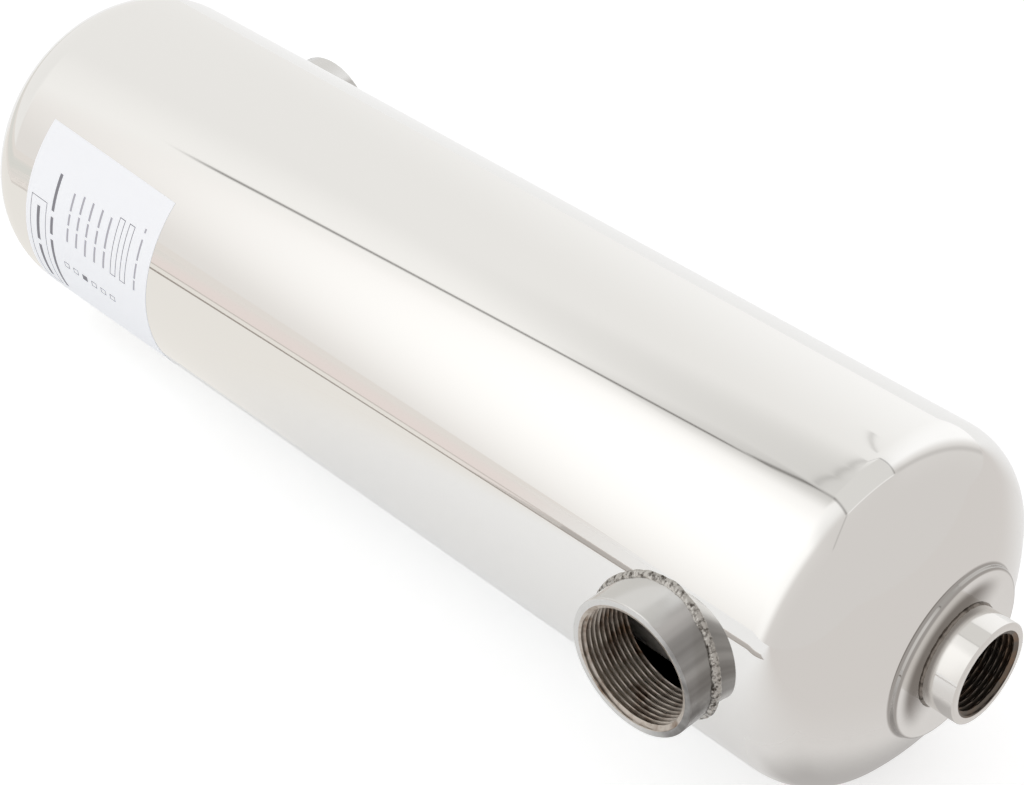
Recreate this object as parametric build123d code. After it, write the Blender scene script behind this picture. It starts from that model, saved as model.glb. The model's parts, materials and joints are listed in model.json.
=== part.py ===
from build123d import *
import os
from math import asin, atan2, cos, degrees, radians, sin, sqrt

# Shell and tube heat exchanger for a swimming pool, lying on its side.
# The shell axis runs along X, the side couplings point to -Y and +Y, and +Z is up.
# The origin is under the middle of the shell, on the surface that it lies on.
# All lengths are in millimetres.

# Shell: a rolled and welded tube between two dished ends
shell_diameter = 140.0
shell_wall = 1.5
barrel_length = 408.0

# Dished ends: a crown and a knuckle, with a round flat pressed up in the middle
knuckle_radius = 27.0
crown_radius = 105.0
pad_diameter = 66.0
pad_step = 2.4
pad_edge_radius = 1.0

# Side couplings: 1 1/2 inch pipe thread, set through the barrel wall
side_thread_root_diameter = 48.3
side_thread_depth = 1.75
side_coupling_rim = 2.6
side_coupling_standoff = 12.3
side_coupling_engagement = 2.8
side_weld_leg = 3.0
side_weld_round = 1.7

# End couplings: 1 inch pipe thread, set through the flat of each dished end
end_thread_root_diameter = 33.4
end_thread_depth = 1.55
end_coupling_rim = 2.8
end_coupling_standoff = 13.0
end_coupling_engagement = 4.0
end_weld_leg = 1.3

# Turned edge on the rim of every coupling
rim_chamfer = 0.5

# Tube bundle: straight tubes rolled into a tube sheet at each end of the barrel,
# one in the middle and hexagonal rings round it, spread out to the feet of the side couplings
tube_diameter = 16.0
tube_wall = 1.0
tube_rings = 2
tube_projection = 2.0
bundle_clearance = 4.0
tube_sheet_thickness = 6.0
sheet_to_coupling_gap = 2.45
hexagon_sides = 6

# Room left round a piece that is pushed into its hole before it is rolled or welded
fit_clearance = 0.1
# How far a cutting tool runs past what it cuts
cut_overrun = 5.0

shell_radius = shell_diameter / 2
shell_bore_radius = shell_radius - shell_wall
barrel_half = barrel_length / 2
pad_radius = pad_diameter / 2
side_coupling_radius = side_thread_root_diameter / 2 + side_coupling_rim
end_coupling_radius = end_thread_root_diameter / 2 + end_coupling_rim
tube_radius = tube_diameter / 2

# Axial place of the front side coupling, measured back from the end of the barrel
side_coupling_inset = tube_sheet_thickness + sheet_to_coupling_gap + side_coupling_radius
side_coupling_x = barrel_half - side_coupling_inset

# Both ends of a side coupling, measured out from the shell axis
side_coupling_face = shell_radius + side_coupling_standoff
side_saddle_depth = sqrt(shell_bore_radius**2 - side_coupling_radius**2)
side_coupling_foot = side_saddle_depth - side_coupling_engagement
tube_pitch = (side_coupling_foot - bundle_clearance - tube_radius) / tube_rings


def crown_centre(radius, knuckle, crown):
    """Axial place of the crown's centre, behind the joint of dished end and barrel."""
    return -sqrt((crown - knuckle) ** 2 - (radius - knuckle) ** 2)


# Flat of the dished end, measured out from the joint of dished end and barrel
crown_height_at_pad = (
    crown_centre(shell_radius, knuckle_radius, crown_radius) + sqrt(crown_radius**2 - pad_radius**2)
)
pad_height = crown_height_at_pad + pad_step
end_coupling_face = pad_height + end_coupling_standoff
end_coupling_foot = pad_height - shell_wall - end_coupling_engagement


def dish_curve(radius, knuckle, crown, inner_radius):
    """Knuckle and crown of a dished end, from the barrel in to a given radius."""
    centre_x = crown_centre(radius, knuckle, crown)
    meet_angle = degrees(atan2(radius - knuckle, -centre_x))
    stop_angle = degrees(asin(inner_radius / crown))
    knuckle_arc = CenterArc((0, radius - knuckle), knuckle, 90, meet_angle - 90)
    crown_arc = CenterArc((centre_x, 0), crown, meet_angle, stop_angle - meet_angle)
    return knuckle_arc, crown_arc


def dished_end():
    """Pressed end with its raised flat and the hole for the end coupling."""
    hole_radius = end_coupling_radius + fit_clearance
    inner_pad_radius = pad_radius - shell_wall
    inner_pad_height = pad_height - shell_wall
    outer_knuckle, outer_crown = dish_curve(shell_radius, knuckle_radius, crown_radius, pad_radius)
    inner_knuckle, inner_crown = dish_curve(
        shell_bore_radius,
        knuckle_radius - shell_wall,
        crown_radius - shell_wall,
        inner_pad_radius,
    )
    step_foot = outer_crown @ 1
    step_head = Vector(pad_height, pad_radius)
    flat = Polyline(
        step_foot,
        step_head,
        (pad_height, hole_radius),
        (inner_pad_height, hole_radius),
        (inner_pad_height, inner_pad_radius),
        inner_crown @ 1,
    )
    joint = Line(inner_knuckle @ 0, outer_knuckle @ 0)
    section = make_face([outer_knuckle, outer_crown, flat, inner_crown, inner_knuckle, joint])
    corners = [section.vertices().sort_by_distance(point)[0] for point in (step_foot, step_head)]
    section = fillet(corners, pad_edge_radius)
    return Pos(barrel_half, 0, 0) * revolve(section, Axis.X)


def coupling(radius, root_diameter, thread_depth, length):
    """Round coupling along X, with its face at zero and its foot behind it, bored to the thread's crest."""
    root_radius = root_diameter / 2
    crest_radius = root_radius - thread_depth
    section = make_face(
        Polyline(
            (0, root_radius),
            (0, radius - rim_chamfer),
            (-rim_chamfer, radius),
            (-length, radius),
            (-length, crest_radius),
            (-thread_depth, crest_radius),
            close=True,
        )
    )
    return revolve(section, Axis.X)


def end_coupling():
    """Coupling in the flat of the front dished end."""
    length = end_coupling_face - end_coupling_foot
    body = coupling(end_coupling_radius, end_thread_root_diameter, end_thread_depth, length)
    return Pos(barrel_half + end_coupling_face, 0, 0) * body


def end_weld():
    """Convex weld bead round the foot of the end coupling."""
    foot = Vector(pad_height, end_coupling_radius)
    toe = foot + Vector(0, end_weld_leg)
    head = foot + Vector(end_weld_leg, 0)
    middle = foot + Vector(end_weld_leg, end_weld_leg) * cos(radians(45)) * cos(radians(30))
    section = make_face([Line(head, foot), Line(foot, toe), ThreePointArc(toe, middle, head)])
    return Pos(barrel_half, 0, 0) * revolve(section, Axis.X)


def side_coupling():
    """Coupling through the barrel wall near the front end."""
    length = side_coupling_face - side_coupling_foot
    body = coupling(side_coupling_radius, side_thread_root_diameter, side_thread_depth, length)
    return Pos(side_coupling_x, -side_coupling_face, 0) * Rot(0, 0, -90) * body


def side_cylinder(radius):
    """Cutting cylinder on the front side coupling's axis, from the shell axis outwards."""
    length = side_coupling_face + cut_overrun
    return Pos(side_coupling_x, -length / 2, 0) * Cylinder(radius, length, rotation=(90, 0, 0))


def shell_cylinder(radius, length):
    """Solid round bar on the shell axis."""
    return Cylinder(radius, length, rotation=(0, 90, 0))


def side_weld():
    """Rounded weld bead along the saddle where the side coupling leaves the barrel."""
    collar = side_cylinder(side_coupling_radius + side_weld_leg) - side_cylinder(side_coupling_radius)
    skin = shell_cylinder(shell_radius + side_weld_leg, barrel_length)
    skin -= shell_cylinder(shell_radius, barrel_length + cut_overrun)
    bead = (collar & skin).solids().sort_by(Axis.Y)[0]
    outer_edges = bead.edges().group_by(lambda edge: edge.length)[-1]
    return fillet(outer_edges.sort_by(Axis.Y)[0], side_weld_round)


def turn_to_rear(piece):
    """The rear end repeats the front one, turned half round about the vertical."""
    return Rot(0, 0, 180) * piece


def shell_barrel():
    """Barrel with a hole for each side coupling."""
    wall = Pos(0, shell_bore_radius + shell_wall / 2) * Rectangle(barrel_length, shell_wall)
    barrel = revolve(wall, Axis.X)
    hole = side_cylinder(side_coupling_radius + fit_clearance)
    return barrel - hole - turn_to_rear(hole)


def tube_places():
    """Places of the tubes in the YZ plane: a middle one and the hexagonal rings round it."""
    turn = radians(360 / hexagon_sides)
    places = [(0, 0)]
    for ring in range(1, tube_rings + 1):
        reach = ring * tube_pitch
        # A flat side of each ring faces the side couplings
        angles = [turn * (i + 1 / 2) for i in range(hexagon_sides + 1)]
        corners = [(reach * cos(angle), reach * sin(angle)) for angle in angles]
        for (y0, z0), (y1, z1) in zip(corners, corners[1:]):
            for step in range(ring):
                share = step / ring
                places.append((y0 + (y1 - y0) * share, z0 + (z1 - z0) * share))
    return places


def tube_sheet():
    """Drilled plate that closes the front end of the barrel round the tubes."""
    sheet = shell_cylinder(shell_bore_radius - fit_clearance, tube_sheet_thickness)
    drill = shell_cylinder(tube_radius + fit_clearance, tube_sheet_thickness + cut_overrun)
    for y, z in tube_places():
        sheet -= Pos(0, y, z) * drill
    return Pos(barrel_half - tube_sheet_thickness / 2, 0, 0) * sheet


def tube():
    """One straight tube, long enough to stand out of both tube sheets."""
    length = barrel_length + 2 * tube_projection
    return shell_cylinder(tube_radius, length) - shell_cylinder(tube_radius - tube_wall, length + cut_overrun)


def all_pieces():
    """Every named piece of the heat exchanger, with the shell axis on X."""
    pieces = {"shell_barrel": shell_barrel()}
    front_pieces = {
        "end_cap": dished_end(),
        "end_coupling": end_coupling(),
        "end_weld": end_weld(),
        "side_coupling": side_coupling(),
        "side_weld": side_weld(),
        "tube_sheet": tube_sheet(),
    }
    for name, piece in front_pieces.items():
        pieces["front_" + name] = piece
        pieces["rear_" + name] = turn_to_rear(piece)
    for number, (y, z) in enumerate(tube_places(), start=1):
        pieces[f"tube_{number:02d}"] = Pos(0, y, z) * tube()
    return pieces


os.makedirs("parts", exist_ok=True)
for node, piece in all_pieces().items():
    export_step(Pos(0, 0, shell_radius) * piece, f"parts/{node}.step")
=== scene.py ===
"""Looks of a shell and tube pool heat exchanger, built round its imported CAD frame."""

import functools
import json
import math
import random

import bpy
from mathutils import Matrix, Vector, noise


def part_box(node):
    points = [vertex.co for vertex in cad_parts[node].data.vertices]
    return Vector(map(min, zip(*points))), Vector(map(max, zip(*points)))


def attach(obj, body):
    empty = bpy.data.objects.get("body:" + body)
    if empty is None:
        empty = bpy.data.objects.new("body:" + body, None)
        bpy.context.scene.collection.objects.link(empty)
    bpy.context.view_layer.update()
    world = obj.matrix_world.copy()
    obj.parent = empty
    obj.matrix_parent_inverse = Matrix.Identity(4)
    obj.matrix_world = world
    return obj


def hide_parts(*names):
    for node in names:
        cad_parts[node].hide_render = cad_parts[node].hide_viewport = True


bl_info = {
    "name": "Pool Heat Exchanger",
    "version": (1, 0, 0),
    "blender": (4, 5, 0),
    "location": "View3D > Sidebar > Exchanger",
    "description": "Dresses the CAD frame of a stainless steel pool heat exchanger",
    "category": "Object",
}

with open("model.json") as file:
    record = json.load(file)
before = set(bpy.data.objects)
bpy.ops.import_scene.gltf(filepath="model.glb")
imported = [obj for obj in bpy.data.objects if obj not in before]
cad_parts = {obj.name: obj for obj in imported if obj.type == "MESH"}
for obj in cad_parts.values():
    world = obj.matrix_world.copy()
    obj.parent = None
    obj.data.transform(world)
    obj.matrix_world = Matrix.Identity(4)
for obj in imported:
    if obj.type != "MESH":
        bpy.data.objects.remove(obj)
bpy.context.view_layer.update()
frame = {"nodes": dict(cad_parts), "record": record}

MM = 0.001
BODY = "root"
ENDS = ("front", "rear")
MOUNTS = {mount["name"]: mount for mount in frame["record"]["mounts"]}

# Places and sizes that the CAD frame gives
BARREL_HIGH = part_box("shell_barrel")[1]
BARREL_HALF = BARREL_HIGH.x
SHELL_RADIUS = BARREL_HIGH.y
AXIS_HEIGHT = MOUNTS["front_end_port"]["pos_m"][2]
PAD_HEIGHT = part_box("front_end_cap")[1].x - BARREL_HALF
END_LOW, END_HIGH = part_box("front_end_coupling")
END_RADIUS = END_HIGH.y
END_FACE = END_HIGH.x
END_LENGTH = END_HIGH.x - END_LOW.x
END_CREST = MOUNTS["front_end_port"]["dims"]["r_mm"] * MM
SIDE_LOW, SIDE_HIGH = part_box("front_side_coupling")
SIDE_X = (SIDE_LOW.x + SIDE_HIGH.x) / 2
SIDE_RADIUS = (SIDE_HIGH.x - SIDE_LOW.x) / 2
SIDE_FACE = -SIDE_LOW.y
SIDE_LENGTH = SIDE_HIGH.y - SIDE_LOW.y
SIDE_CREST = MOUNTS["front_side_port"]["dims"]["r_mm"] * MM
SIDE_WELD_LOW, SIDE_WELD_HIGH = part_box("front_side_weld")
SIDE_WELD_LEG = (SIDE_WELD_HIGH.x - SIDE_WELD_LOW.x) / 2 - SIDE_RADIUS
END_WELD_LOW, END_WELD_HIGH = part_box("front_end_weld")
END_WELD_LEG = END_WELD_HIGH.x - END_WELD_LOW.x


def to_linear(hex_colour):
    """Linear RGBA of an sRGB hex colour."""
    channels = [int(hex_colour[i : i + 2], 16) / 255 for i in (0, 2, 4)]
    linear = [c / 12.92 if c <= 0.04045 else ((c + 0.055) / 1.055) ** 2.4 for c in channels]
    return (*linear, 1.0)


def length_property(name, description, millimetres):
    """A length that a user may change, given here in millimetres."""
    size = millimetres * MM
    return bpy.props.FloatProperty(
        name=name, description=description, default=size, min=0.0, unit="LENGTH", precision=5
    )


def angle_property(name, description, degrees):
    """An angle that a user may change, given here in degrees."""
    return bpy.props.FloatProperty(
        name=name, description=description, default=math.radians(degrees), unit="ROTATION"
    )


def colour_property(name, owner, hex_colour):
    """A colour that a user may change, and what has it."""
    return bpy.props.FloatVectorProperty(
        name=name,
        description="Colour of " + owner,
        default=to_linear(hex_colour),
        size=4,
        min=0.0,
        max=1.0,
        subtype="COLOR",
    )


class ShellSettings(bpy.types.PropertyGroup):
    """Sizes and colours of the polished shell."""

    wall: length_property("Wall", "Thickness of the shell plate", 1.5)
    knuckle: length_property("Knuckle", "Outer radius between barrel and dished end", 27.0)
    crown: length_property("Crown", "Outer radius of the dished end", 105.0)
    pad_radius: length_property("Flat", "Radius of the raised flat round the end coupling", 33.0)
    pad_edge: length_property("Flat edge", "Rounding at the head and foot of the step", 1.0)
    hole_clearance: length_property("Clearance", "Room round a coupling in its hole", 0.1)
    colour: colour_property("Steel", "the polished plate", "EEEDEB")
    # Painted shade: the dark brown painted on the step round each flat and on the flat beside the end
    # coupling
    dull_colour: colour_property("Dull steel", "steel that the polishing wheel does not reach", "6E665F")


class CouplingSettings(bpy.types.PropertyGroup):
    """Sizes and colours of the threaded couplings, and the colour of the tubes behind them."""

    side_root: length_property("Side thread", "Root radius of the side coupling's thread", 24.15)
    end_root: length_property("End thread", "Root radius of the end coupling's thread", 16.7)
    pitch: length_property("Pitch", "Distance between neighbouring thread turns", 2.21)
    rim_edge: length_property("Rim edge", "Rounded edge of the outer rim", 0.7)
    side_colour: colour_property("Side steel", "the turned side couplings", "D8D7D5")
    # Painted shade: the darker streaks on the side of each side coupling that faces the dished end
    stain_colour: colour_property("Stain", "the heat stain on the side couplings", "747270")
    end_colour: colour_property("End steel", "the polished end couplings", "E8E6E3")
    thread_colour: colour_property("Thread", "the cut threads", "C6BEB5")
    rust_colour: colour_property("Film", "the brown film in the threads", "806A58")
    oil_colour: colour_property("Oil", "the dark oil in the end threads", "6B645D")
    inner_colour: colour_property("Inside", "the tubes and tube sheets", "E0DEDB")


class WeldSettings(bpy.types.PropertyGroup):
    """Sizes and colours of the weld beads."""

    ripple: length_property("Ripple", "Distance between the ripples of the bead", 1.7)
    relief: length_property("Relief", "Height of the ripples on a bead of a side coupling", 0.4)
    colour: colour_property("Bead", "the bare weld metal", "BEBBB6")
    # Painted shade: the end beads are drawn darker than the side beads, for the shade at the foot of the end
    # couplings
    burnt_colour: colour_property("Burnt bead", "the smooth bead on the dished ends", "8E8780")
    scale_colour: colour_property("Scale", "the burnt scale between the ripples", "4C4640")


class LabelSettings(bpy.types.PropertyGroup):
    """Place, size and colours of the paper label."""

    width: length_property("Width", "Size of the label along the barrel", 83.0)
    height: length_property("Height", "Size of the label round the barrel", 102.0)
    thickness: length_property("Thickness", "Thickness of the label paper", 0.12)
    inset: length_property("Inset", "Distance of the label from the rear end of the barrel", 16.8)
    top: angle_property("Top", "Angle round the barrel to the label's upper edge, from +Y", 139.0)
    tilt: angle_property("Tilt", "Turn of the label's upper edge", 2.0)
    lean: angle_property("Lean", "Turn of the label's long edges", 8.0)
    paper: colour_property("Paper", "the label paper", "FBFCFF")
    # Painted light: a faint blue glow that makes the label lighter
    glow: colour_property("Glow", "the light that the paper's brightener gives off", "DAEAFF")
    ink: colour_property("Ink", "the ruled marks", "8C8C94")
    pale_ink: colour_property("Pale ink", "the plain bars in the place of small print", "BDBDC6")


class StageSettings(bpy.types.PropertyGroup):
    """Camera, floor, and the colours of what only shows mirrored in the steel."""

    camera_place: bpy.props.FloatVectorProperty(
        name="Camera", description="Place of the camera", default=(0.5075, -0.4729, 0.5938), unit="LENGTH"
    )
    camera_view: bpy.props.FloatVectorProperty(
        name="View", description="Direction in which the camera looks", default=(-0.5578, 0.5522, -0.6197)
    )
    focal_pixels: bpy.props.FloatProperty(
        name="Focal length", description="Focal length in pixels of the picture", default=2197.2
    )
    floor: colour_property("Floor", "the floor", "EEF0F2")
    front_card: colour_property("Front card", "the card in front of the exchanger", "DDD9D6")
    # Painted shadow: the exchanger's shadow on the floor, mirrored low in the dished end
    front_shade: colour_property("Front shade", "the card close under the dished end", "BAB7B5")
    left_card: colour_property("Left card", "the warm card at the left", "F5F2ED")
    table: colour_property("Table", "the warm part of the table", "F1E6E2")
    table_front: colour_property("Table front", "the plain table round the warm part", "EEE9E4")
    table_side: colour_property("Table side", "the table towards the rear end", "E3E3DE")
    table_rim: colour_property("Table rim", "the pale strip between edge and joint", "F3EFE9")
    table_band: colour_property("Table band", "the band along the table's edge", "BDB8B4")
    table_edge: colour_property("Table edge", "the table's dark edge", "A49C95")
    table_joint: colour_property("Table joint", "the joint beyond the band", "CFC8C2")


# Settings that several nodes share
SMOOTH = {"interpolation_type": "SMOOTHSTEP"}
COLOURS = {"data_type": "RGBA"}
TIMES = {"operation": "MULTIPLY"}
MINUS = {"operation": "SUBTRACT"}
LARGER = {"operation": "MAXIMUM"}
UNSIGNED = {"operation": "ABSOLUTE"}
DOT = {"operation": "DOT_PRODUCT"}
WHITE = (1, 1, 1, 1)


def add_node(tree, kind, settings, *values, **named):
    """Adds a node, then sets or links its inputs, in order or by name; a node stands for its first output."""
    node = tree.nodes.new("ShaderNode" + kind)
    for key, value in settings.items():
        setattr(node, key, value)
    pairs = list(zip([socket for socket in node.inputs if socket.enabled], values))
    pairs += [(node.inputs[key.replace("_", " ")], value) for key, value in named.items()]
    for socket, value in pairs:
        if isinstance(value, bpy.types.Node):
            value = next(output for output in value.outputs if output.enabled)
        if isinstance(value, bpy.types.NodeSocket):
            tree.links.new(value, socket)
        else:
            socket.default_value = value
    return node


def new_material(name):
    """An empty node material, and the function that adds nodes to it."""
    material = bpy.data.materials.new(name)
    material.use_nodes = True
    material.node_tree.nodes.clear()
    return material, functools.partial(add_node, material.node_tree)


# Waves from rolling the plate
PLATE_WAVE = 90.0 * MM
# Painted shade on the step round the flat, a dark line that also tones down its highlight: how far off it is
# full and where it is gone
STEP_RANGE = (0.4 * MM, 1.3 * MM)
STEP_SHADE = 0.6
# Painted shade on the flat beside the coupling, a dark reflection: where it is gone and full along its
# radius, and the heights where it grows
FLAT_RANGE = (31.0 * MM, 25.0 * MM)
FLAT_RISE = (AXIS_HEIGHT - 8.0 * MM, AXIS_HEIGHT + 22.0 * MM)
FLAT_SHADE = 0.9


def polished_steel(settings):
    """Stainless plate, ground and buffed: a near mirror with a faint waviness from rolling, and painted shade
    on and round the flat at each end.
    """
    material, add = new_material("polished_stainless_plate")
    place = add("TexCoord", {}).outputs["Object"]
    wave = add("TexNoise", {}, place, Scale=1 / PLATE_WAVE, Detail=1.0, Roughness=0.4)
    bump = add("Bump", {}, Strength=0.02, Distance=1.0 * MM, Height=wave)
    # Painted shade in a dark brown: a dark line on the step round the flat, and a dark reflection on the flat
    # beside the coupling
    across = add("VectorMath", MINUS, place, (0, 0, AXIS_HEIGHT))
    across = add("VectorMath", TIMES, across, (0, 1, 1))
    reach = add("VectorMath", {"operation": "LENGTH"}, across)
    off = add("Math", MINUS, reach, settings.pad_radius)
    off = add("Math", UNSIGNED, off)
    step = add("MapRange", SMOOTH, off, *STEP_RANGE, STEP_SHADE, 0.0)
    parts = add("SeparateXYZ", {}, place).outputs
    end = add("Math", {"operation": "SIGN"}, parts["X"])
    side = add("Math", TIMES, end, parts["Y"])
    rise = add("Math", MINUS, parts["Z"], side)
    rise = add("MapRange", SMOOTH, rise, *FLAT_RISE, 0.0, FLAT_SHADE)
    flat = add("MapRange", SMOOTH, reach, *FLAT_RANGE)
    painted_shade = add("Math", TIMES, rise, flat)
    painted_shade = add("Math", LARGER, painted_shade, step)
    tint = add("Mix", COLOURS, painted_shade, settings.colour, settings.dull_colour)
    shader = add("BsdfPrincipled", {}, Base_Color=tint, Metallic=1.0, Roughness=0.035, Normal=bump)
    add("OutputMaterial", {}, Surface=shader)
    return material


# Real tool marks are 0.2 mm apart, too fine to show, so these are drawn 0.8 mm apart
TOOL_MARK = 0.8 * MM
# Rougher and smoother patches of the bar, and how far they differ
BAR_PATCH = 6.0 * MM
PATCH_RANGE = (0.3, 0.7)
PATCH_SPREAD = 0.2
# Painted shade on the side couplings, in streaks: its streaks, and where it starts and is full along the
# shell
SHADE_STREAK = 7.0 * MM
STREAK_RANGE = (0.35, 0.65)
STREAK_LEAST = 0.6
SHADE_RANGE = (SIDE_X + 0.05 * SIDE_RADIUS, SIDE_X + 0.9 * SIDE_RADIUS)


def turned_steel(name, colour, roughness, axis, side_shade=None):
    """Stainless steel, turned or drawn: fine marks across an axis, and painted shade on one side where it is
    given a shade colour.
    """
    material, add = new_material(name)
    place = add("TexCoord", {}).outputs["Object"]
    along = add("VectorMath", TIMES, place, axis)
    marks = add("TexNoise", {}, along, Scale=1 / TOOL_MARK, Detail=2.0)
    bump = add("Bump", {}, Strength=0.2, Distance=0.05 * MM, Height=marks)
    patch = add("TexNoise", {}, place, Scale=1 / BAR_PATCH, Detail=3.0)
    least, most = roughness * (1 - PATCH_SPREAD), roughness * (1 + PATCH_SPREAD)
    rough = add("MapRange", {}, patch, *PATCH_RANGE, least, most)
    if side_shade:
        # Painted shade: darker on the side of the coupling that faces the dished end, in streaks along its
        # axis
        reach = add("SeparateXYZ", {}, place).outputs["X"]
        reach = add("Math", UNSIGNED, reach)
        shade_share = add("MapRange", SMOOTH, reach, *SHADE_RANGE)
        around = add("VectorMath", TIMES, place, (1, 0, 1))
        streak = add("TexNoise", {}, around, Scale=1 / SHADE_STREAK, Detail=2.0)
        streak = add("MapRange", {}, streak, *STREAK_RANGE, STREAK_LEAST, 1.0)
        shade_share = add("Math", TIMES, shade_share, streak)
        colour = add("Mix", COLOURS, shade_share, colour, side_shade)
    shader = add("BsdfPrincipled", {}, Base_Color=colour, Metallic=1.0, Roughness=rough, Normal=bump)
    add("OutputMaterial", {}, Surface=shader)
    return material


# Noise levels between which a film sets in, before its share moves them down
FILM_RANGE = (0.62, 0.82)


def film_on_steel(name, colour, film, grain, share, roughness):
    """Bare steel with patches of a darker film: oil and flash rust in a thread, burnt scale on a weld."""
    material, add = new_material(name)
    place = add("TexCoord", {}).outputs["Object"]
    patch = add("TexNoise", {}, place, Scale=1 / grain, Detail=3.0, Roughness=0.6)
    patch = add("MapRange", {}, patch, *(level - share for level in FILM_RANGE))
    tint = add("Mix", COLOURS, patch, colour, film)
    shader = add("BsdfPrincipled", {}, Base_Color=tint, Metallic=1.0, Roughness=roughness)
    add("OutputMaterial", {}, Surface=shader)
    return material


def label_paper(settings):
    """Coated label paper: a matt, cold white, with painted light: a faint blue glow that makes it lighter."""
    material, add = new_material("coated_label_paper")
    # Painted light: the emission makes the paper glow lighter
    shader = add(
        "BsdfPrincipled",
        {},
        Base_Color=settings.paper,
        Roughness=0.55,
        Emission_Color=settings.glow,
        Emission_Strength=0.11,
    )
    add("OutputMaterial", {}, Surface=shader)
    return material


def label_ink(colour):
    """Grey print on the label, a little duller than the paper."""
    material, add = new_material("printed_label_ink")
    add("OutputMaterial", {}, Surface=add("BsdfPrincipled", {}, Base_Color=colour, Roughness=0.7))
    return material


# How far the floor is lifted to white for the camera, and the share of that for a mirror
FLOOR_LIFT = 0.42
MIRRORED_LIFT = 0.53


def floor_paper(colour):
    """Matt studio paper: a white ground for camera and mirror, with the exchanger's shadow left in."""
    material, add = new_material("matt_studio_paper")
    paper = add("BsdfDiffuse", {}, colour)
    rays = add("LightPath", {}).outputs
    seen = rays["Is Camera Ray"]
    for ray in ("Is Glossy Ray", "Is Transmission Ray"):
        mirrored = add("Math", TIMES, rays[ray], MIRRORED_LIFT)
        seen = add("Math", LARGER, seen, mirrored)
    lift = add("Math", TIMES, seen, FLOOR_LIFT)
    glow = add("Emission", {}, WHITE, lift)
    add("OutputMaterial", {}, Surface=add("AddShader", {}, paper, glow))
    return material


def reflector_card(name, colour, fades):
    """Card beside the picture that only shows mirrored in the steel, fading in along some directions."""
    material, add = new_material(name)
    place = add("TexCoord", {}).outputs["Object"]
    share = 1.0
    for way, start, full in fades:
        along = add("VectorMath", DOT, place, way)
        part = add("MapRange", SMOOTH, along, start, full)
        share = add("Math", TIMES, part, share)
    clear = add("BsdfTransparent", {})
    card = add("Emission", {}, colour, 1.0)
    add("OutputMaterial", {}, Surface=add("MixShader", {}, share, clear, card))
    return material


def mesh_object(name, points, faces, materials, sharp_degrees=None):
    """A smooth mesh object in the scene, with the edges over an angle left sharp."""
    mesh = bpy.data.meshes.new(name)
    mesh.from_pydata([tuple(point) for point in points], [], faces)
    mesh.update()
    mesh.polygons.foreach_set("use_smooth", [True] * len(mesh.polygons))
    if sharp_degrees:
        mesh.set_sharp_from_angle(angle=math.radians(sharp_degrees))
    for material in materials:
        mesh.materials.append(material)
    piece = bpy.data.objects.new(name, mesh)
    bpy.context.scene.collection.objects.link(piece)
    return piece


class Surface:
    """Vertices, faces and corner normals of a mesh while it is built."""

    def __init__(self):
        self.points = []
        self.faces = []
        self.normals = []

    def add_point(self, point):
        """Adds a vertex and gives its number."""
        self.points.append(Vector(point))
        return len(self.points) - 1

    def add_face(self, corners, normals):
        """Adds a four-cornered face that shades with the given normals, turned to face their way."""
        a, b, c, d = (self.points[corner] for corner in corners)
        if (c - a).cross(d - b).dot(sum(normals, Vector((0, 0, 0)))) < 0:
            corners = corners[::-1]
            normals = normals[::-1]
        self.faces.append(corners)
        self.normals.append(normals)

    def add_strip(self, ring_a, ring_b, normals_a, normals_b):
        """Joins two closed rings of vertices with faces."""
        count = len(ring_a)
        for i in range(count):
            j = (i + 1) % count
            self.add_face(
                (ring_a[i], ring_a[j], ring_b[j], ring_b[i]),
                (normals_a[i], normals_a[j], normals_b[j], normals_b[i]),
            )

    def to_object(self, name, material):
        """Makes the mesh object and keeps its corner normals."""
        piece = mesh_object(name, self.points, self.faces, (material,))
        piece.data.normals_split_custom_set([n.normalized() for face in self.normals for n in face])
        return piece


def grid_object(name, rings, materials, sharp_degrees, first_rings=0):
    """A closed tube of vertex rings, round both ways; rings after the first few take the last material."""
    columns = len(rings[0])
    faces = []
    for i in range(len(rings)):
        k = (i + 1) % len(rings)
        for j in range(columns):
            m = (j + 1) % columns
            faces.append((i * columns + j, k * columns + j, k * columns + m, i * columns + m))
    points = [point for ring in rings for point in ring]
    piece = mesh_object(name, points, faces, materials, sharp_degrees)
    last = len(materials) - 1
    places = [0 if i < first_rings else last for i in range(len(rings)) for _ in range(columns)]
    piece.data.polygons.foreach_set("material_index", places)
    return piece


def seat(piece, slot, *nodes):
    """Fixes a piece to the exchanger in place of CAD nodes, which it hides; the slot is not used."""
    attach(piece, BODY)
    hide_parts(*nodes)


def to_rear(point):
    """The rear end repeats the front, turned half round about the vertical."""
    return Vector((-point[0], -point[1], point[2]))


def spread(start, stop, count):
    """Values in even steps from start to stop."""
    return [start + (stop - start) * i / count for i in range(count + 1)]


def arc_points(centre, radius, start, stop, count, hollow=False):
    """Profile points (x, r, normal x, normal r) along an arc; a hollow arc shades towards its centre."""
    turn = -1 if hollow else 1
    ways = [(math.cos(angle), math.sin(angle)) for angle in spread(start, stop, count)]
    return [(centre[0] + radius * x, centre[1] + radius * r, turn * x, turn * r) for x, r in ways]


SHELL_COLUMNS = 192
KNUCKLE_STEPS = 28
CROWN_STEPS = 14
EDGE_STEPS = 6
WINDOW_ROWS = 20
WINDOW_COLUMNS = 32
MIDDLE_ROWS = 24
WINDOW_RINGS = 6


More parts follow.
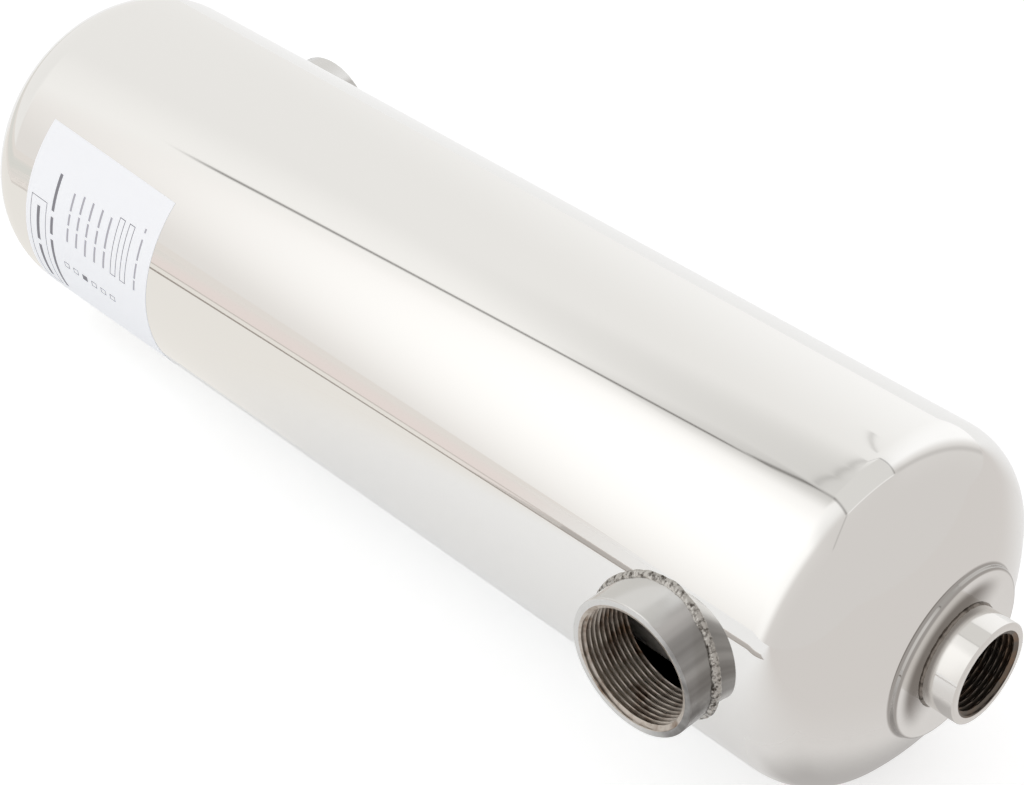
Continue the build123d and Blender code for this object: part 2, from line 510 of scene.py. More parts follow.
def dish_profile(settings, wall):
    """Section of a dished end from the barrel in to the coupling's hole, moved in by a wall."""
    radius = SHELL_RADIUS - wall
    knuckle = settings.knuckle - wall
    crown = settings.crown - wall
    edge = settings.pad_edge
    pad_radius = settings.pad_radius - wall
    pad_height = PAD_HEIGHT - wall
    hole = END_RADIUS + settings.hole_clearance
    centre_x = -math.sqrt((crown - knuckle) ** 2 - (radius - knuckle) ** 2)
    meet = math.atan2(radius - knuckle, -centre_x)
    foot = (centre_x + math.sqrt((crown + edge) ** 2 - (pad_radius + edge) ** 2), pad_radius + edge)
    foot_angle = math.atan2(foot[1], foot[0] - centre_x)
    head = (pad_height - edge, pad_radius - edge)
    profile = arc_points((0, radius - knuckle), knuckle, math.pi / 2, meet, KNUCKLE_STEPS)
    profile += arc_points((centre_x, 0), crown, meet, foot_angle, CROWN_STEPS)[1:]
    profile += arc_points(foot, edge, foot_angle + math.pi, 1.5 * math.pi, EDGE_STEPS, hollow=True)[1:]
    profile += arc_points(head, edge, math.pi / 2, 0, EDGE_STEPS)
    profile.append((pad_height, hole, 1, 0))
    return profile


def shell_rows(settings, wall):
    """Rows (x, r, normal x, normal r) of the whole shell from the rear hole to the front one."""
    dish = dish_profile(settings, wall)
    radius = SHELL_RADIUS - wall
    inner_end = SIDE_X - (BARREL_HALF - SIDE_X)
    rows = [(-BARREL_HALF - x, r, -nx, nr) for x, r, nx, nr in reversed(dish)]
    steps = spread(-BARREL_HALF, -inner_end, WINDOW_ROWS)[1:]
    steps += spread(-inner_end, inner_end, MIDDLE_ROWS)[1:]
    steps += spread(inner_end, BARREL_HALF, WINDOW_ROWS)[1:-1]
    rows += [(x, radius, 0, 1) for x in steps]
    rows += [(BARREL_HALF + x, r, nx, nr) for x, r, nx, nr in dish]
    return rows


def round_point(x, radius, angle):
    """Point at an angle round the shell axis, zero towards +Y."""
    return Vector((x, radius * math.cos(angle), AXIS_HEIGHT + radius * math.sin(angle)))


def round_normal(nx, nr, angle):
    """Direction that leans along the axis by nx and away from it by nr."""
    return Vector((nx, nr * math.cos(angle), nr * math.sin(angle)))


def add_shell_skin(surface, settings, wall, facing):
    """Adds one skin of the shell, with a round window at each side coupling, and gives its open edges."""
    rows = shell_rows(settings, wall)
    radius = SHELL_RADIUS - wall
    angles = spread(0, 2 * math.pi, SHELL_COLUMNS)[:-1]
    rings = [[surface.add_point(round_point(x, r, a)) for a in angles] for x, r, nx, nr in rows]
    shade = [[facing * round_normal(nx, nr, a) for a in angles] for x, r, nx, nr in rows]
    first_row = len(dish_profile(settings, wall)) - 1
    last_row = len(rows) - 1 - first_row
    half = WINDOW_COLUMNS // 2
    middle = SHELL_COLUMNS // 2
    # First row, columns, and the place of the coupling along and round the barrel
    windows = {
        "rear": (first_row, range(-half, half), -SIDE_X, 0.0),
        "front": (last_row - WINDOW_ROWS, range(middle - half, middle + half), SIDE_X, math.pi),
    }
    skipped = set()
    for row, columns, x, angle in windows.values():
        skipped |= {(i, j % SHELL_COLUMNS) for i in range(row, row + WINDOW_ROWS) for j in columns}
    for i in range(len(rows) - 1):
        for j in range(SHELL_COLUMNS):
            if (i, j) not in skipped:
                m = (j + 1) % SHELL_COLUMNS
                corners = ((i, j), (i, m), (i + 1, m), (i + 1, j))
                surface.add_face(
                    tuple(rings[a][b] for a, b in corners), tuple(shade[a][b] for a, b in corners)
                )
    edges = {"rear_end": rings[0], "front_end": rings[-1]}
    hole = SIDE_RADIUS + settings.hole_clearance
    for name, window in windows.items():
        edges[name + "_side"] = add_window(surface, rings, rows, window, hole, radius, facing)
    return edges


def add_window(surface, rings, rows, window, hole, radius, facing):
    """Fills a square window in the barrel with rings that close in to a round hole; gives the hole's edge."""
    row, columns, centre_x, centre_angle = window
    low, high = columns[0], columns[-1] + 1
    border = [(i, low) for i in range(row, row + WINDOW_ROWS)]
    border += [(row + WINDOW_ROWS, j) for j in range(low, high)]
    border += [(i, high) for i in range(row + WINDOW_ROWS, row, -1)]
    border += [(row, j) for j in range(high, low, -1)]
    lines = []
    for i, j in border:
        x = rows[i][0] - centre_x
        turn = 2 * math.pi * j / SHELL_COLUMNS - centre_angle
        way = math.atan2(radius * turn, x)
        hole_turn = math.asin(hole * math.sin(way) / radius)
        lines.append((x, turn, hole * math.cos(way), hole_turn))
    outer = [rings[i][j % SHELL_COLUMNS] for i, j in border]
    outer_shade = [facing * round_normal(0, 1, centre_angle + turn) for x, turn, hx, ht in lines]
    for k in range(1, WINDOW_RINGS + 1):
        share = k / WINDOW_RINGS
        places = [(x + (hx - x) * share, turn + (ht - turn) * share) for x, turn, hx, ht in lines]
        ring = [surface.add_point(round_point(centre_x + x, radius, centre_angle + t)) for x, t in places]
        ring_shade = [facing * round_normal(0, 1, centre_angle + t) for x, t in places]
        surface.add_strip(outer, ring, outer_shade, ring_shade)
        outer, outer_shade = ring, ring_shade
    return outer


class EXCHANGER_OT_shell(bpy.types.Operator):
    """Polished shell: barrel and dished ends welded and buffed into one skin"""

    bl_idname = "exchanger.shell"
    bl_label = "Polished Shell"

    def execute(self, context):
        settings = context.scene.exchanger_shell
        surface = Surface()
        outside = add_shell_skin(surface, settings, 0.0, 1)
        inside = add_shell_skin(surface, settings, settings.wall, -1)
        for name, outer in outside.items():
            centre = sum((surface.points[p] for p in outer), Vector((0, 0, 0))) / len(outer)
            along = Vector((1, 0, 0)) if name.endswith("end") else Vector((0, 1, 0))
            shades = []
            for ring in (outer, inside[name]):
                ways = [centre - surface.points[p] for p in ring]
                shades.append([way - along * way.dot(along) for way in ways])
            surface.add_strip(outer, inside[name], *shades)
        piece = surface.to_object("polished_shell", polished_steel(settings))
        seat(piece, "polished_shell", "shell_barrel", "front_end_cap", "rear_end_cap")
        return {"FINISHED"}


COUPLING_COLUMNS = 200
ROWS_A_TURN = 16
RIM_STEPS = 4
MOUTH_SLOPE = 2.5
OUTER_RINGS = RIM_STEPS + 2
THREAD_SHARP_DEGREES = 35
# Slope of the thread's flanks, with what it is cut back by for the flats at root and crest
FLANK_SLOPE = 1.3
FLANK_CUT = (FLANK_SLOPE - 1.0) / 2
THREAD_GRAIN = 9.0 * MM


def thread_radius(depth, angle, root, crest, pitch):
    """Radius of the thread at a depth behind the coupling's face."""
    phase = (depth / pitch + angle / (2 * math.pi)) % 1.0
    flank = min(1.0, max(0.0, FLANK_SLOPE * abs(2 * phase - 1) - FLANK_CUT))
    radius = crest + (root - crest) * flank
    return max(radius, root - MOUTH_SLOPE * depth)


def coupling_rings(settings, radius, root, crest, length):
    """Rings of (depth, radius, angle) round a coupling, from the rim over the outside to the bore."""
    angles = spread(0, 2 * math.pi, COUPLING_COLUMNS)[:-1]
    edge = settings.rim_edge
    turns = spread(0, math.pi / 2, RIM_STEPS)
    outside = [(edge * (1 - math.cos(t)), radius - edge * (1 - math.sin(t))) for t in turns]
    outside.append((length, radius))
    rings = [[(depth, r, a) for a in angles] for depth, r in outside]
    rows = math.ceil(length / settings.pitch * ROWS_A_TURN)
    for depth in reversed(spread(0, length, rows)):
        rings.append([(depth, thread_radius(depth, a, root, crest, settings.pitch), a) for a in angles])
    return rings


def coupling_object(name, rings, place, outside, thread):
    """Coupling mesh whose rings are carried to their place by a function."""
    placed = [[place(*point) for point in ring] for ring in rings]
    # The last strip closes the grid from the thread's mouth to the rim, so it goes first as a part of the rim
    return grid_object(name, placed[-1:] + placed[:-1], (outside, thread), THREAD_SHARP_DEGREES, OUTER_RINGS)


def side_place(depth, radius, angle):
    """Point on the front side coupling, by depth behind its face."""
    x = SIDE_X + radius * math.cos(angle)
    return Vector((x, depth - SIDE_FACE, AXIS_HEIGHT + radius * math.sin(angle)))


def end_place(depth, radius, angle):
    """Point on the front end coupling, by depth behind its face."""
    return round_point(END_FACE - depth, radius, angle)


def at_end(place, end):
    """The placing function for one end of the exchanger."""
    return place if end == "front" else lambda *values: to_rear(place(*values))


def add_couplings(kind, rings, place, outside, thread):
    """Adds the couplings of one kind at both ends."""
    for end in ENDS:
        piece = coupling_object(f"{end}_{kind}_threads", rings, at_end(place, end), outside, thread)
        seat(piece, "turned_coupling", f"{end}_{kind}_coupling")


class EXCHANGER_OT_side_couplings(bpy.types.Operator):
    """Turned couplings with a pipe thread, set through the sides of the barrel"""

    bl_idname = "exchanger.side_couplings"
    bl_label = "Side Couplings"

    def execute(self, context):
        settings = context.scene.exchanger_couplings
        steel, side_shade = settings.side_colour, settings.stain_colour
        cut, film = settings.thread_colour, settings.rust_colour
        outside = turned_steel("turned_stainless_bar", steel, roughness=0.16, axis=(0, 1, 0), side_shade=side_shade)
        thread = film_on_steel("cut_thread_with_film", cut, film, THREAD_GRAIN, share=0.15, roughness=0.42)
        rings = coupling_rings(settings, SIDE_RADIUS, settings.side_root, SIDE_CREST, SIDE_LENGTH)
        add_couplings("side", rings, side_place, outside, thread)
        return {"FINISHED"}


class EXCHANGER_OT_end_couplings(bpy.types.Operator):
    """Polished couplings with a pipe thread, in the middle of the dished ends"""

    bl_idname = "exchanger.end_couplings"
    bl_label = "End Couplings"

    def execute(self, context):
        settings = context.scene.exchanger_couplings
        steel = settings.end_colour
        film, oil = settings.rust_colour, settings.oil_colour
        outside = turned_steel("polished_stainless_bar", steel, roughness=0.11, axis=(1, 0, 0))
        thread = film_on_steel("oily_cut_thread", film, oil, THREAD_GRAIN, share=0.3, roughness=0.4)
        rings = coupling_rings(settings, END_RADIUS, settings.end_root, END_CREST, END_LENGTH)
        add_couplings("end", rings, end_place, outside, thread)
        return {"FINISHED"}


WELD_COLUMNS = 1200
WELD_ARC_STEPS = 10
WELD_SHARP_DEGREES = 60
# How fast the bead's size wanders, and steps through the noise that let height and strength go their own way
WANDER_REACH = 9
HEIGHT_STEP = Vector((0, 0, 7))
STRENGTH_STEP = Vector((0, 0, 3))
# Shares of the leg: the bead's width and height, how far they wander, and the swell of its face
BEAD_WIDTH, WIDTH_WANDER = 0.54, 0.14
BEAD_HEIGHT, HEIGHT_WANDER = 0.62, 0.2
BEAD_SWELL = 0.16
SWELL_BLUNTNESS = 0.7
# The swell stands out at half a right angle, so this share of it goes each way
SWELL_SHARE = 0.7
# Ripples: how far spacing and strength wander, their trail at the bead's edges, and their shape
RIPPLE_WANDER = 0.6
STRENGTH_WANDER = 0.7
RIPPLE_TRAIL = 0.6
RIPPLE_BLUNTNESS = 0.6
RIPPLE_MIDDLE = 0.6


def weld_rings(settings, coupling_radius, leg, surface_depth, place, seed):
    """Rings round a rippled bead: over its face from the coupling to the plate, and back under it."""
    rng = random.Random(seed)
    shift = rng.uniform(0, 100)
    ripples = round(2 * math.pi * coupling_radius / settings.ripple)
    relief = settings.relief * (leg / SIDE_WELD_LEG) ** 2
    rings = [[] for _ in range(WELD_ARC_STEPS + 2)]
    for angle in spread(0, 2 * math.pi, WELD_COLUMNS)[:-1]:
        around = Vector((math.cos(angle) * WANDER_REACH, math.sin(angle) * WANDER_REACH, shift))
        width = leg * (BEAD_WIDTH + WIDTH_WANDER * noise.noise(around))
        height = leg * (BEAD_HEIGHT + HEIGHT_WANDER * noise.noise(around + HEIGHT_STEP))
        jitter = RIPPLE_WANDER * noise.noise(around * 2)
        strength = 1.0 + STRENGTH_WANDER * noise.noise(around * 1.5 + STRENGTH_STEP)
        for ring, share in zip(rings, spread(0, 1, WELD_ARC_STEPS)):
            bow = math.sin(math.pi * share) ** SWELL_BLUNTNESS
            trail = RIPPLE_TRAIL * (2 * share - 1) ** 2
            phase = ripples * angle / (2 * math.pi) + trail + jitter
            ripple = abs(math.sin(math.pi * phase)) ** RIPPLE_BLUNTNESS - RIPPLE_MIDDLE
            swell = (BEAD_SWELL * leg + relief * strength * ripple) * bow
            radius = coupling_radius + width * share + swell * SWELL_SHARE
            up = height * (1 - share) + swell * SWELL_SHARE
            ring.append(place(surface_depth(radius, angle) - up, radius, angle))
        rings[-1].append(place(surface_depth(coupling_radius, angle), coupling_radius, angle))
    return rings


def barrel_depth(radius, angle):
    """Depth of the barrel's surface behind the face of a side coupling."""
    return SIDE_FACE - math.sqrt(SHELL_RADIUS**2 - (radius * math.sin(angle)) ** 2)


def pad_depth(radius, angle):
    """Depth of the dished end's flat behind the face of the end coupling, the same at every place."""
    return END_FACE - BARREL_HALF - PAD_HEIGHT


class EXCHANGER_OT_welds(bpy.types.Operator):
    """Rippled weld beads round the foot of every coupling"""

    bl_idname = "exchanger.welds"
    bl_label = "Weld Beads"

    def execute(self, context):
        settings = context.scene.exchanger_welds
        scale = settings.scale_colour
        bead = film_on_steel("bare_weld_bead", settings.colour, scale, 1.6 * MM, share=0.16, roughness=0.2)
        # The end beads take a darker copy of the bead metal, painted shade at the coupling's foot, with the
        # scale in patches
        shaded_bead = film_on_steel(
            "burnt_weld_bead", settings.burnt_colour, scale, 4.0 * MM, share=0.1, roughness=0.3
        )
        # Kind of coupling, its radius, weld leg, ground and place, and the bead's metal and first seed
        kinds = (
            ("side", SIDE_RADIUS, SIDE_WELD_LEG, barrel_depth, side_place, bead, 0),
            ("end", END_RADIUS, END_WELD_LEG, pad_depth, end_place, shaded_bead, 5),
        )
        for number, end in enumerate(ENDS):
            for kind, radius, leg, depth, place, metal, seed in kinds:
                rings = weld_rings(settings, radius, leg, depth, at_end(place, end), seed + number)
                piece = grid_object(f"{end}_{kind}_bead", rings, (metal,), WELD_SHARP_DEGREES)
                seat(piece, "weld_metal", f"{end}_{kind}_weld")
        return {"FINISHED"}


# Steps of the label's mesh round the barrel, and along it, where it is straight
LABEL_STEP = 1.5 * MM
LABEL_STRIDE = 4 * LABEL_STEP
LABEL_SHARP_DEGREES = 40
GLUE = 0.015 * MM
INK_LIFT = 0.03 * MM
LINE_WIDTH = 0.35 * MM

# Generic marks on the label, in millimetres across and down from its upper left corner:
# outlined boxes, tick squares of which one is filled, and plain bars in the place of print
OUTLINES = ((3.2, 34.0, 14.2, 84.0), (59.2, 18.4, 62.8, 46.2), (65.6, 18.2, 69.2, 46.2))
TICK_SQUARES = [(27.6 + 6.3 * number, 60.4) for number in range(6)]
FILLED_SQUARE = 2
TICK_SIZE = (3.4, 3.0)
BARS = (
    (29.6, 1.2, (22.0, 30.5, 32.0, 37.5, 39.0, 46.0)),
    (35.8, 1.2, (20.5, 29.0, 30.5, 37.0, 38.5, 46.0)),
    (42.0, 1.2, (20.5, 29.0, 30.5, 37.0, 38.5, 47.0)),
    (48.4, 1.2, (20.5, 29.0, 30.5, 37.0, 38.5, 46.5)),
    (54.6, 1.2, (21.0, 36.0, 37.5, 46.0)),
    (75.2, 1.0, (16.0, 18.0, 21.0, 31.0, 32.5, 40.0, 41.0, 46.0)),
)
BOLD_BARS = ((18.4, 1.8, (18.0, 36.0, 39.0, 48.0, 51.0, 82.0)), (8.8, 2.0, (38.0, 56.0, 59.0, 80.0)))


def label_point(settings, across, down, lift):
    """Point on the label, lifted off the barrel."""
    left = -BARREL_HALF + settings.inset
    x = left + across * math.cos(settings.tilt) - down * math.sin(settings.lean)
    arc = across * math.sin(settings.tilt) + down * math.cos(settings.lean)
    return round_point(x, SHELL_RADIUS + lift, settings.top + arc / SHELL_RADIUS)


def add_patch(points, faces, settings, box, low, high):
    """Adds a thin closed sheet that follows the barrel, from an (across, down, across, down) box."""
    u0, v0, u1, v1 = box
    columns = max(1, math.ceil((u1 - u0) / LABEL_STRIDE))
    rows = max(1, math.ceil((v1 - v0) / LABEL_STEP))
    start = len(points)
    for lift in (low, high):
        for down in spread(v0, v1, rows):
            for across in spread(u0, u1, columns):
                points.append(label_point(settings, across, down, lift))
    wide = columns + 1
    layer = wide * (rows + 1)
    for i in range(rows):
        for j in range(columns):
            a = start + i * wide + j
            faces.append((a, a + 1, a + wide + 1, a + wide))
            faces.append((a + layer, a + layer + wide, a + layer + wide + 1, a + layer + 1))
    rim = [start + j for j in range(columns)]
    rim += [start + i * wide + columns for i in range(rows)]
    rim += [start + rows * wide + j for j in range(columns, 0, -1)]
    rim += [start + i * wide for i in range(rows, 0, -1)]
    for a, b in zip(rim, rim[1:] + rim[:1]):
        faces.append((b, a, a + layer, b + layer))


def sheet_object(name, settings, boxes, low, high, material):
    """Object made of thin sheets on the barrel."""
    points = []
    faces = []
    for box in boxes:
        add_patch(points, faces, settings, box, low, high)
    return mesh_object(name, points, faces, (material,), LABEL_SHARP_DEGREES)


def outline_boxes(u0, v0, u1, v1, line):
    """Four thin boxes along the sides of a box."""
    return [
        (u0, v0, u1, v0 + line),
        (u0, v1 - line, u1, v1),
        (u0, v0 + line, u0 + line, v1 - line),
        (u1 - line, v0 + line, u1, v1 - line),
    ]


def bar_boxes(bars):
    """Boxes of broken bars: (middle across, width, starts and stops down)."""
    boxes = []
    for middle, width, stops in bars:
        for start, stop in zip(stops[::2], stops[1::2]):
            box = (middle - width / 2, start, middle + width / 2, stop)
            boxes.append(tuple(value * MM for value in box))
    return boxes


class EXCHANGER_OT_label(bpy.types.Operator):
    """Paper label near the rear end, with generic marks and no words"""

    bl_idname = "exchanger.label"
    bl_label = "Paper Label"

    def execute(self, context):
        settings = context.scene.exchanger_label
        top = GLUE + settings.thickness
        paper = [(0.0, 0.0, settings.width, settings.height)]
        lines = []
        for box in OUTLINES:
            lines += outline_boxes(*(value * MM for value in box), LINE_WIDTH)
        wide, high = (size / 2 for size in TICK_SIZE)
        for number, (across, down) in enumerate(TICK_SQUARES):
            box = [value * MM for value in (across - wide, down - high, across + wide, down + high)]
            lines += [box] if number == FILLED_SQUARE else outline_boxes(*box, LINE_WIDTH)
        ink = label_ink(settings.ink)
        pale = label_ink(settings.pale_ink)
        pieces = (
            ("paper_label", paper, GLUE, top, label_paper(settings)),
            ("label_outlines", lines, top, top + INK_LIFT, ink),
            ("label_bold_bars", bar_boxes(BOLD_BARS), top, top + INK_LIFT, ink),
            ("label_bars", bar_boxes(BARS), top, top + INK_LIFT, pale),
        )
        for name, boxes, low, high, material in pieces:
            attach(sheet_object(name, settings, boxes, low, high, material), BODY)
        return {"FINISHED"}


class EXCHANGER_OT_bundle(bpy.types.Operator):
    """Dull drawn steel on the tubes and tube sheets inside the shell"""

    bl_idname = "exchanger.bundle"
    bl_label = "Tube Bundle"

    def execute(self, context):
        settings = context.scene.exchanger_couplings
        material = turned_steel(
            "drawn_stainless_tube", settings.inner_colour, roughness=1.0, axis=(0, 1, 0)
        )
        for name, node in frame["nodes"].items():
            if "tube" in name:
                node.data.materials.clear()
                node.data.materials.append(material)
        return {"FINISHED"}


def rectangle(a0, b0, a1, b1):
    """Corners of a rectangle between two opposite ones."""
    return ((a0, b0), (a1, b0), (a1, b1), (a0, b1))


# Width of the picture that the camera frames, in pixels
PICTURE_WIDTH = 1024
SENSOR_WIDTH_MM = 36.0

FLOOR_HALF = 3.0
SHEET_LIFT = 0.3 * MM

# Directions on the floor: along the shell, across it, out to the table, and along the table's edge
AHEAD = Vector((1, 0, 0))
ACROSS = Vector((0, 1, 0))
OUT = Vector((-0.492, -0.871, 0.0))
ALONG = Vector((OUT.y, -OUT.x, 0))
# The table's edge, mirrored low on the barrel: its distance from the middle of the scene
EDGE = 0.395
# Fades that parts of the table share: a direction, and the distances along it where they start and are full
HAZE = (-OUT, -1.5, -0.45)
REAR = (-ALONG, -0.27, -0.15)
# Cards on the floor and parts of the table, which only show mirrored: corners, layer and fades.
# A card's places are along the shell and across it, the table's out to it and along its edge.
CARDS = {
    "front_card": (rectangle(0.1, -FLOOR_HALF, FLOOR_HALF, FLOOR_HALF), 1, ((AHEAD, 0.11, 0.33),)),
    # The front shade is a darker card, a painted shadow of the exchanger on the floor close under the dished
    # end
    "front_shade": (
        rectangle(0.19, -0.09, 0.27, 0.08),
        2,
        (
            (-AHEAD, -0.262, -0.225),
            (AHEAD, 0.195, 0.215),
            (ACROSS, -0.085, -0.045),
            (-ACROSS, -0.07, 0.0),
        ),
    ),
    "left_card": (rectangle(-0.6, -0.5, -0.02, -0.05), 0.5, ((-AHEAD, 0.02, 0.14),)),
}
TABLE = {
    "table_front": (rectangle(EDGE, -0.3, 4.2, 4.0), 1, ((ALONG, -0.25, 0.0),)),
    "table": (rectangle(EDGE, -0.2, 1.7, 0.3), 2, (HAZE, REAR, (ALONG, -0.14, -0.05))),
    "table_side": (
        rectangle(0.42, 0.2, 1.5, 4.0),
        2,
        ((ALONG, 0.2, 0.35), (OUT, 0.42, 0.55), (-OUT, -1.3, -0.8)),
    ),
    "table_rim": (
        ((EDGE, -0.12), (EDGE, 0.3), (0.45, 0.3), (0.5, -0.12)),
        3,
        (REAR, (ALONG, -0.1, -0.02)),
    ),
    "table_band": (((EDGE, -0.05), (0.52, -0.13), (0.52, -0.45), (EDGE, -0.45)), 3, ()),
    "table_edge": (rectangle(EDGE - 0.01, -0.45, EDGE + 0.01, 0.3), 4, (REAR,)),
    "table_joint": (
        ((0.445, 0.3), (0.46, 0.3), (0.525, -0.13), (0.525, -0.45), (0.495, -0.45), (0.495, -0.13)),
        4,
        (REAR,),
    ),
}

# Seams of the light tent by direction of their upper and lower ends, in order round the tent,
# and how softly the walls meet there
TENT_SEAMS = {
    "back_left": ((-0.463, -0.118, 0.878), (-0.81, -0.586, 0.0), 0.0, 0.1),
    "front_left": ((0.122, -0.175, 0.977), (-0.174, -0.985, 0.0), -1.27, 0.39),
    "front_right": ((0.12, 0.45, 0.885), (0.08, 0.997, 0.0), 0.0, 0.2),
    "back_right": ((-0.309, 0.457, 0.834), (-0.574, 0.819, 0.0), -0.42, 0.22),
}
# Walls between two seams: light away from the lamp and towards it, first and last seam
TENT_WALLS = (
    ((1.13, 1.13, 1.13, 1), (1.13, 1.13, 1.13, 1), "front_right", "back_right"),
    ((0.825, 0.79, 0.76, 1), (1.5, 1.5, 1.5, 1), "back_left", "front_left"),
    ((0.73, 0.706, 0.687, 1), (0.73, 0.706, 0.687, 1), "front_left", "front_right"),
)
# The wall left over at the back: its light, that towards the lamp and at its top, and the top's height
BACK_WALL = (0.935, 0.925, 0.906, 1)
BACK_WALL_LIT = (1.04, 1.03, 1.01, 1)
BACK_WALL_TOP = (0.73, 0.72, 0.70, 1)
TOP_RANGE = (0.78, 0.93)
# The lamp behind the cloth, and how closely a direction agrees with it where walls and back wall light up
LAMP_WAY = (0.266, -0.694, 0.669)
WALL_SHINE = (0.33, 0.80)
BACK_SHINE = (0.28, 0.54)
# Corners of the ceiling cloth by direction, in order round it, and how softly its edge sets in
CORNERS = ((-0.437, -0.06, 0.897), (0.074, -0.167, 0.983), (0.141, 0.445, 0.884), (-0.328, 0.48, 0.814))
CEILING = (0.79, 0.78, 0.76, 1)
CEILING_EDGE = 0.02
DARK = (0.12, 0.11, 0.10, 1)
LIGHT = (1.2, 1.2, 1.2, 1)
# Creases in the cloth: direction of both ends, half width, strength and colour
CREASES = (
    ((-0.463, -0.118, 0.878), (-0.696, -0.35, 0.627), 0.011, 0.85, DARK),
    ((-0.463, -0.118, 0.878), CORNERS[0], 0.011, 0.8, DARK),
    ((-0.43, -0.05, 0.9), (-0.53, -0.19, 0.825), 0.06, 0.13, DARK),
    (CORNERS[0], CORNERS[1], 0.022, 0.6, DARK),
    (CORNERS[1], (0.315, -0.462, 0.829), 0.022, 0.3, DARK),
    (CORNERS[1], CORNERS[2], 0.02, 0.5, LIGHT),
    ((-0.437, -0.04, 0.898), (-0.432, 0.12, 0.894), 0.0025, 0.5, DARK),
    ((-0.432, 0.12, 0.894), (-0.429, 0.26, 0.865), 0.0025, 0.5, DARK),
    ((-0.429, 0.26, 0.865), (-0.425, 0.40, 0.812), 0.0025, 0.5, DARK),
    ((-0.425, 0.40, 0.812), CORNERS[3], 0.005, 0.5, DARK),
    (CORNERS[3], CORNERS[2], 0.016, 0.5, DARK),
    ((-0.423, 0.515, 0.745), (-0.428, 0.657, 0.62), 0.002, 0.5, DARK),
    ((0.12, 0.45, 0.885), (0.08, 0.98, -0.15), 0.07, 0.2, DARK),
)
# Shares of a crease's half length where it starts and where it is full
CREASE_ENDS = (1.1, 0.85)


def plane_normal(one, two):
    """Normal of the plane through two directions."""
    return Vector(one).cross(Vector(two)).normalized()


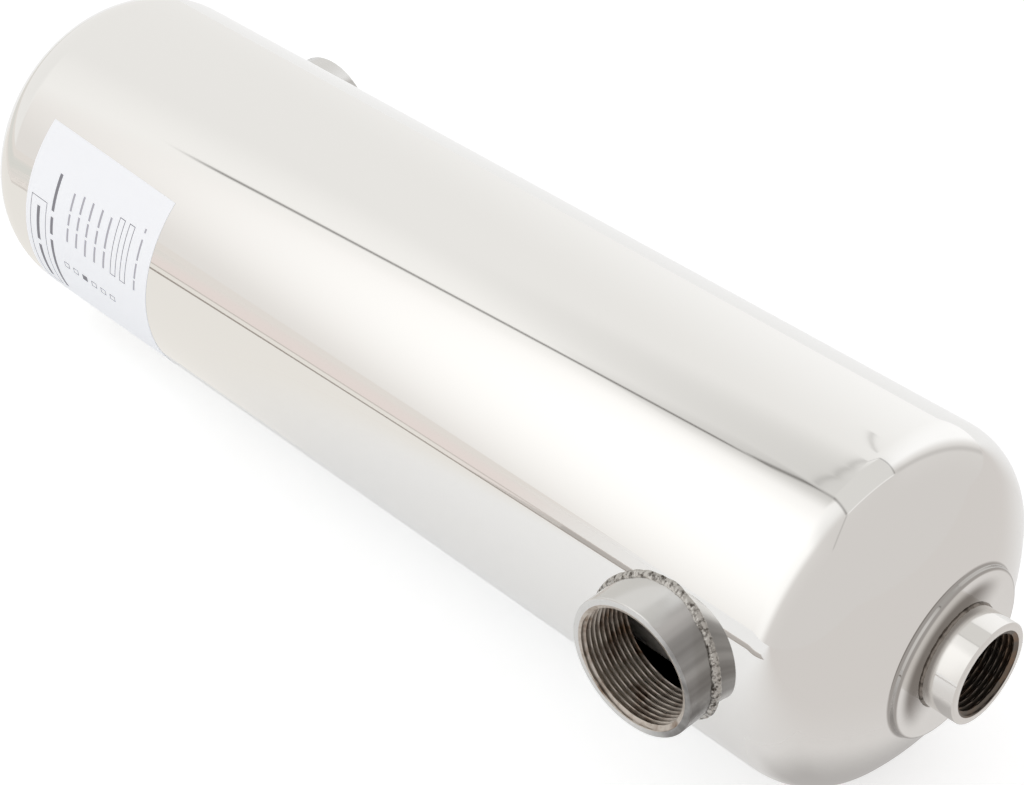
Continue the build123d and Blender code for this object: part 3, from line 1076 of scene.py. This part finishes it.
class EXCHANGER_OT_stage(bpy.types.Operator):
    """Camera, pale floor and soft studio light"""

    bl_idname = "exchanger.stage"
    bl_label = "Stage"

    def execute(self, context):
        scene = context.scene
        settings = scene.exchanger_stage
        scene.view_settings.view_transform = "Standard"
        self.add_camera(scene, settings)
        self.add_floor(settings)
        self.add_light(scene)
        return {"FINISHED"}

    def add_camera(self, scene, settings):
        """Camera at the photograph's viewing angle."""
        data = bpy.data.cameras.new("camera")
        data.sensor_width = SENSOR_WIDTH_MM
        data.lens = SENSOR_WIDTH_MM * settings.focal_pixels / PICTURE_WIDTH
        camera = bpy.data.objects.new("camera", data)
        camera.location = settings.camera_place
        camera.rotation_mode = "QUATERNION"
        camera.rotation_quaternion = Vector(settings.camera_view).to_track_quat("-Z", "Y")
        scene.collection.objects.link(camera)
        scene.camera = camera

    def add_sheet(self, name, corners, material, seen):
        """A flat sheet of the stage; one that is not seen only shows mirrored in the steel."""
        sheet = mesh_object(name, corners, [tuple(range(len(corners)))], (material,))
        sheet.visible_camera = seen
        sheet.visible_diffuse = seen
        sheet.visible_shadow = seen

    def add_floor(self, settings):
        """Studio paper under the exchanger, and what lies round it for the steel to mirror."""
        corners = rectangle(-FLOOR_HALF, -FLOOR_HALF, FLOOR_HALF, FLOOR_HALF)
        self.add_sheet("floor", [(x, y, 0) for x, y in corners], floor_paper(settings.floor), seen=True)
        for sheets, first, second in ((CARDS, AHEAD, ACROSS), (TABLE, OUT, ALONG)):
            for name, (places, layer, fades) in sheets.items():
                height = Vector((0, 0, SHEET_LIFT * layer))
                corners = [first * a + second * b + height for a, b in places]
                card = reflector_card(name, getattr(settings, name), fades)
                self.add_sheet(name, corners, card, seen=False)

    def add_light(self, scene):
        """Light tent all round: walls of different brightness and dark seams; the camera sees white."""
        world = bpy.data.worlds.new("light_tent")
        scene.world = world
        world.use_nodes = True
        world.node_tree.nodes.clear()
        add = functools.partial(add_node, world.node_tree)
        way = add("TexCoord", {}).outputs["Generated"]
        lamp = add("VectorMath", DOT, way, LAMP_WAY)
        wall_shine = add("MapRange", SMOOTH, lamp, *WALL_SHINE)
        back_shine = add("MapRange", SMOOTH, lamp, *BACK_SHINE)
        height = add("SeparateXYZ", {}, way).outputs["Z"]
        top = add("MapRange", SMOOTH, height, *TOP_RANGE)
        colour = add("Mix", COLOURS, back_shine, BACK_WALL, BACK_WALL_LIT)
        colour = add("Mix", COLOURS, top, colour, BACK_WALL_TOP)
        sides = {}
        for name, (upper, lower, start, full) in TENT_SEAMS.items():
            lean = add("VectorMath", DOT, way, plane_normal(upper, lower))
            sides[name] = add("MapRange", SMOOTH, lean, start, full)
        for dim, bright, first, last in TENT_WALLS:
            wall = add("Mix", COLOURS, wall_shine, dim, bright)
            before = add("Math", MINUS, 1.0, sides[last])
            inside = add("Math", TIMES, sides[first], before)
            colour = add("Mix", COLOURS, inside, colour, wall)
        inside = 1.0
        for one, two in zip(CORNERS, CORNERS[1:] + CORNERS[:1]):
            lean = add("VectorMath", DOT, way, plane_normal(one, two))
            within = add("MapRange", SMOOTH, lean, 0.0, CEILING_EDGE)
            inside = add("Math", TIMES, within, inside)
        colour = add("Mix", COLOURS, inside, colour, CEILING)
        for one, two, width, strength, shade in CREASES:
            one = Vector(one).normalized()
            two = Vector(two).normalized()
            lean = add("VectorMath", DOT, way, plane_normal(one, two))
            off = add("Math", UNSIGNED, lean)
            line = add("MapRange", SMOOTH, off, 0.0, width, strength, 0.0)
            near = add("VectorMath", DOT, way, (one + two).normalized())
            ends = [math.cos(one.angle(two) / 2 * share) for share in CREASE_ENDS]
            near = add("MapRange", SMOOTH, near, *ends)
            line = add("Math", TIMES, line, near)
            colour = add("Mix", COLOURS, line, colour, shade)
        seen = add("LightPath", {}).outputs["Is Camera Ray"]
        colour = add("Mix", COLOURS, seen, colour, WHITE)
        glow = add("Background", {}, colour, 1.0)
        add("OutputWorld", {}, Surface=glow)


class EXCHANGER_PT_panel(bpy.types.Panel):
    """Lists the pieces of the heat exchanger"""

    bl_idname = "EXCHANGER_PT_panel"
    bl_label = "Pool Heat Exchanger"
    bl_space_type = "VIEW_3D"
    bl_region_type = "UI"
    bl_category = "Exchanger"

    def draw(self, context):
        for operator in PIECES:
            self.layout.operator(operator.bl_idname)


SETTINGS = {
    "exchanger_shell": ShellSettings,
    "exchanger_couplings": CouplingSettings,
    "exchanger_welds": WeldSettings,
    "exchanger_label": LabelSettings,
    "exchanger_stage": StageSettings,
}
PIECES = (
    EXCHANGER_OT_shell,
    EXCHANGER_OT_side_couplings,
    EXCHANGER_OT_end_couplings,
    EXCHANGER_OT_welds,
    EXCHANGER_OT_label,
    EXCHANGER_OT_bundle,
    EXCHANGER_OT_stage,
)


def register():
    for group in SETTINGS.values():
        bpy.utils.register_class(group)
    for name, group in SETTINGS.items():
        setattr(bpy.types.Scene, name, bpy.props.PointerProperty(type=group))
    for operator in PIECES:
        bpy.utils.register_class(operator)
    bpy.utils.register_class(EXCHANGER_PT_panel)


def unregister():
    bpy.utils.unregister_class(EXCHANGER_PT_panel)
    for operator in reversed(PIECES):
        bpy.utils.unregister_class(operator)
    for name, group in reversed(SETTINGS.items()):
        delattr(bpy.types.Scene, name)
        bpy.utils.unregister_class(group)


def main():
    register()
    bpy.ops.exchanger.shell()
    bpy.ops.exchanger.side_couplings()
    bpy.ops.exchanger.end_couplings()
    bpy.ops.exchanger.welds()
    bpy.ops.exchanger.label()
    bpy.ops.exchanger.bundle()
    bpy.ops.exchanger.stage()


if __name__ == "__main__":
    main()
